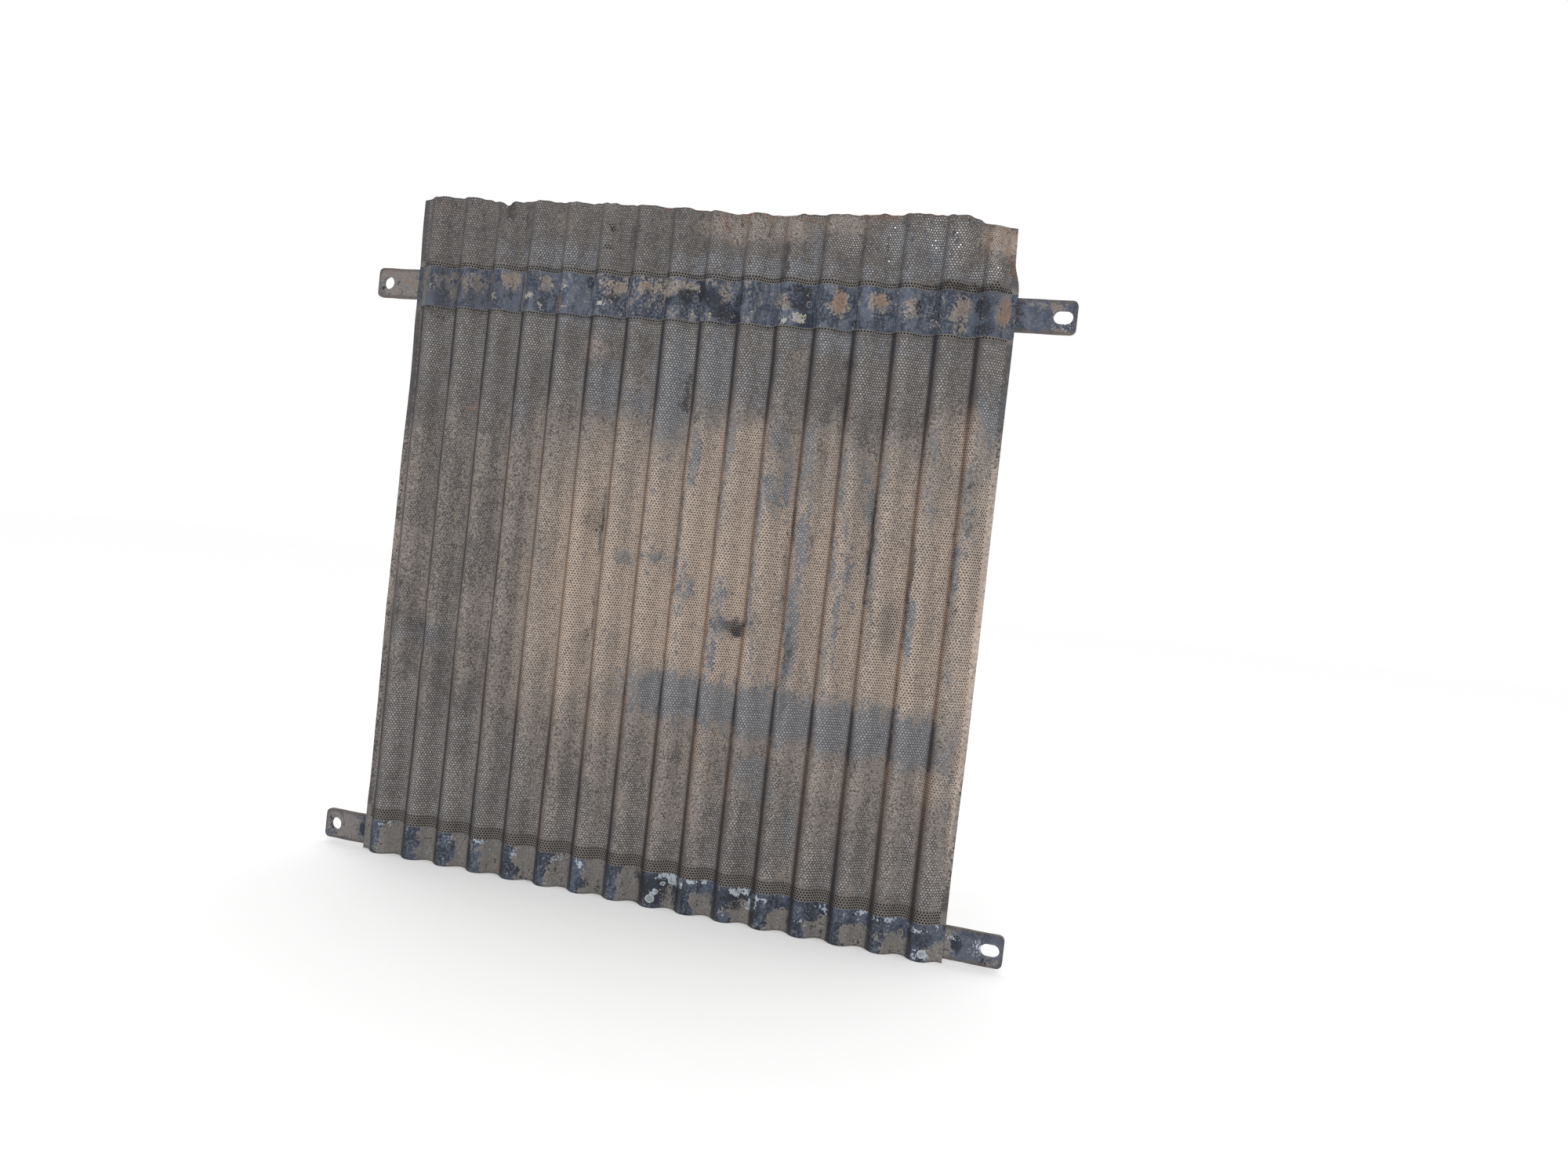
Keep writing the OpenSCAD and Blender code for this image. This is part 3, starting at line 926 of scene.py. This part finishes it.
def make_strap(name, node, marks, material):
    """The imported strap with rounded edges, a slightly wavy face and a wear value along its edges.

    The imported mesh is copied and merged, cut across at even steps, and the tabs' points
    move by up to a third of a millimetre on smooth noise. A Bevel modifier rounds the edges.
    """
    low, high = (np.array(corner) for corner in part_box(node))
    shape = bmesh.new()
    shape.from_mesh(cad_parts[node].data)
    bmesh.ops.remove_doubles(shape, verts=shape.verts, dist=1e-6)
    bmesh.ops.dissolve_limit(shape, angle_limit=math.radians(1), verts=shape.verts, edges=shape.edges)
    cuts = [((x, 0, 0), (1, 0, 0)) for x in np.arange(low[0] + STRAP_STEP, high[0], STRAP_STEP)]
    cuts += [((0, 0, z), (0, 0, 1)) for z in np.linspace(low[2], high[2], 7)[1:-1]]
    for place, direction in cuts:
        everything = [*shape.verts, *shape.edges, *shape.faces]
        bmesh.ops.bisect_plane(shape, geom=everything, plane_co=place, plane_no=direction, dist=1e-6)
    bmesh.ops.dissolve_degenerate(shape, edges=shape.edges, dist=1e-5)
    mesh = bpy.data.meshes.new(name)
    shape.to_mesh(mesh)
    shape.free()
    piece = bpy.data.objects.new(name, mesh)
    bpy.context.scene.collection.objects.link(piece)

    points = np.empty(len(mesh.vertices) * 3, np.float32)
    mesh.vertices.foreach_get("co", points)
    points = points.reshape(-1, 3).astype(float)
    x, z = points[:, 0], points[:, 2]
    for title, areas in marks.items():
        set_attribute(piece, title, ovals(x, z, areas, 1.0))
    edge = np.minimum(np.minimum(z - low[2], high[2] - z), np.minimum(x - low[0], high[0] - x))
    set_attribute(piece, "wear", ease((WORN_EDGE - edge) / WORN_EDGE))
    on_tab = ease((np.abs(x) - 0.36) / 0.02)
    points[:, 1] += on_tab * STRAP_FACE_WANDER * (mottle(x, z, 0.03, 41) - 0.5)
    points[:, 2] += on_tab * STRAP_EDGE_WANDER * (mottle(x, z * 0, 0.012, 42) - 0.5)
    mesh.vertices.foreach_set("co", points.astype(np.float32).ravel())
    mesh.polygons.foreach_set("use_smooth", np.ones(len(mesh.polygons), bool))
    mesh.materials.append(material)
    mesh.update()

    bevel = piece.modifiers.new("rounded edges", "BEVEL")
    bevel.width, bevel.segments = STRAP_EDGE, 2
    bevel.limit_method, bevel.angle_limit = "ANGLE", math.radians(50)
    weighted = piece.modifiers.new("flat faces stay flat", "WEIGHTED_NORMAL")
    weighted.keep_sharp = False
    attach(piece, "root")
    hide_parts(node)


# -------------------- weld marks
MARK_R = 0.0048
NUGGET_R = 0.0025
MARK_SIDES = 20
# The size of the first and last marks beside the others', because the sheet ends there.
END_MARK = 0.55


def make_weld_marks(name, node, height, seed, material):
    """One closed plug for each spot weld, in every valley of the wave.

    On the front it is a ring pressed into the sheet: its rise over the sheet at radius r is
    a rim, exp of minus ((r - 3.2 mm) / 0.8 mm) squared, less a dimple and plus a small nib
    in the middle, and it sinks under the sheet at its edge. Behind, it narrows to the
    nugget that joins the strap.
    """
    r = np.linspace(0, MARK_R, 12)
    rim = np.exp(-(((r - 0.0032) / 0.0008) ** 2))
    nib = np.exp(-((r / 0.0008) ** 2))
    dimple = np.exp(-((r / 0.0020) ** 2))
    rise = 0.00045 * rim - 0.00045 * dimple + 0.00065 * nib + 0.00008 - 0.0004 * ease((r - 0.0038) / 0.0010)
    radius = np.concatenate([r, [MARK_R * 0.98, NUGGET_R, NUGGET_R, 0.0]])
    off = np.concatenate([SHEET_T + rise, [SHEET_T * 0.5, SHEET_T * 0.5, -0.0001, -0.0001]])
    # The dimple's painted shade: dark over the dimple, less the nib in its middle.
    dimple_shade = np.concatenate([dimple - nib, np.zeros(4)])
    rim, nib = (np.concatenate([value, np.zeros(4)]) for value in (rim, nib))
    rings = len(radius)
    angle = 2 * np.pi * np.arange(MARK_SIDES) / MARK_SIDES

    inner = np.arange(1, rings - 1)
    grid = 1 + (inner - 1)[:, None] * MARK_SIDES + np.arange(MARK_SIDES)[None, :]
    last = grid.max() + 1
    here, over = grid[:-1], grid[1:]
    next_here, next_over = np.roll(here, -1, axis=1), np.roll(over, -1, axis=1)
    sides = np.concatenate([
        np.stack([here, over, next_over], -1).reshape(-1, 3),
        np.stack([here, next_over, next_here], -1).reshape(-1, 3),
    ])
    cap = np.stack([np.zeros(MARK_SIDES, int), grid[0], np.roll(grid[0], -1)], -1)
    base = np.stack([np.full(MARK_SIDES, last), np.roll(grid[-1], -1), grid[-1]], -1)
    one = np.concatenate([cap, sides, base])

    ring_of = np.concatenate([[0], np.repeat(inner, MARK_SIDES), [rings - 1]])
    angle_of = np.concatenate([[0.0], np.tile(angle, len(inner)), [0.0]])
    random = np.random.default_rng(seed)
    points, triangles = [], []
    for valley in range(RIDGES + 1):
        shrink = END_MARK if valley in (0, RIDGES) else 1.0
        middle_v = height - SHEET_LOW[2] + random.uniform(-0.0015, 0.0015)
        squash = random.uniform(0.9, 1.08)
        u = SIDE_MARGIN + valley * RIDGE_U + shrink * radius[ring_of] * np.cos(angle_of) * squash
        v = middle_v + shrink * radius[ring_of] * np.sin(angle_of)
        points.append(sheet_place(u, v, off[ring_of]))
        triangles.append(one + valley * len(ring_of))
    piece = new_piece(name, np.concatenate(points), np.concatenate(triangles), True, material)
    for title, value in (("rim", rim), ("dimple_shade", dimple_shade), ("nib", nib)):
        set_attribute(piece, title, np.tile(value[ring_of], RIDGES + 1))
    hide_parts(node)


# -------------------- studio
VIEW_PLACE = (0.4793, -1.2482, 0.0627)
VIEW_YAW, VIEW_PITCH, VIEW_ROLL = math.radians(15.48), math.radians(-1.86), math.radians(6.26)


def add_camera():
    """The camera: yaw about Z, then pitch, then a roll about its own axis."""
    data = bpy.data.cameras.new("camera")
    data.lens, data.sensor_width = 27.0, 36.0
    camera = bpy.data.objects.new("camera", data)
    turn = Matrix.Rotation(VIEW_YAW, 4, "Z") @ Matrix.Rotation(math.pi / 2 + VIEW_PITCH, 4, "X")
    camera.matrix_world = Matrix.Translation(VIEW_PLACE) @ turn @ Matrix.Rotation(VIEW_ROLL, 4, "Z")
    bpy.context.scene.collection.objects.link(camera)
    bpy.context.scene.camera = camera


def add_floor():
    """A wide pale matte floor under the sheet's lowest edge."""
    half = 9.0
    level = float(SHEET_LOW[2]) - 0.0004
    mesh = bpy.data.meshes.new("floor")
    corners = [(-half, -half, level), (half, -half, level), (half, half, level), (-half, half, level)]
    mesh.from_pydata(corners, [], [(0, 1, 2, 3)])
    floor = bpy.data.objects.new("floor", mesh)
    f = Finish("pale_floor")
    f.shader.inputs["Base Color"].default_value = tint(254, 254, 254)
    f.shader.inputs["Roughness"].default_value = 0.9
    f.shader.inputs["Specular IOR Level"].default_value = 0.1
    mesh.materials.append(f.material)
    bpy.context.scene.collection.objects.link(floor)


def add_light(name, place, size, power):
    """A square area light, aimed at the middle of the panel."""
    data = bpy.data.lights.new(name, "AREA")
    data.size, data.energy = size, power
    light = bpy.data.objects.new(name, data)
    light.location = place
    light.rotation_euler = (-Vector(place)).to_track_quat("-Z", "Y").to_euler()
    bpy.context.scene.collection.objects.link(light)


add_camera()
make_sheet(sheet_finish())
make_strap("upper_cross_strap", "upper_strap", UPPER_MARKS, strap_finish("upper_strap_paint"))
make_strap("lower_cross_strap", "lower_strap", LOWER_MARKS, strap_finish("lower_strap_paint"))
weld_grey = weld_finish("painted_weld", (56, 62, 76), (100, 104, 112))
weld_mud = weld_finish("muddy_weld", (88, 86, 86), (124, 117, 111))
make_weld_marks("upper_weld_marks", "upper_spot_welds", UPPER_Z, 51, weld_grey)
make_weld_marks("lower_weld_marks", "lower_spot_welds", LOWER_Z, 52, weld_mud)
add_floor()
add_light("key", (1.6, -2.6, 1.9), 1.8, 26)
add_light("fill", (-2.4, 2.2, 1.4), 2.2, 14)

world = bpy.data.worlds.new("studio")
world.use_nodes = True
world.node_tree.nodes["Background"].inputs["Color"].default_value = (1, 1, 1, 1)
bpy.context.scene.world = world
bpy.context.scene.view_settings.view_transform = "Standard"
